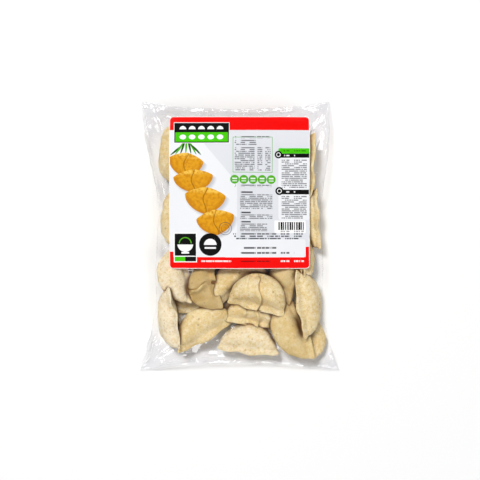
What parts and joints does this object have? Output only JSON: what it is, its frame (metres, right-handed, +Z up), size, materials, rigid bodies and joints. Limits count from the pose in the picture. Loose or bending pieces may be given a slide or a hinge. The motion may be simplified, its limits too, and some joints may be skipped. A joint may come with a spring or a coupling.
{
  "type": "bag of frozen gyoza dumplings",
  "caption": "Clear sealed pillow bag filled with frozen gyoza dumplings, lying on its back, with a printed paper label across the upper part of its front.",
  "frame": {"origin": "on the surface that the bag lies on, under the middle of its box", "axes": "+Z up, out of the bag's labelled front; +Y towards the bag's head, above the label; +X to the right as the label is read"},
  "size_m": [0.211, 0.284, 0.0466],
  "materials": {
    "filled_bag": "pale dough seen through thin clear film",
    "clear_film": "thin clear glossy film with creases",
    "dough": "pale yellow raw dough dusted with flour and frost",
    "label_print": "coated paper printed in red, black, green and gold"
  },
  "bodies": {
    "root": {"bag": "filled_bag", "label": "label_print"}
  },
  "joints": []
}
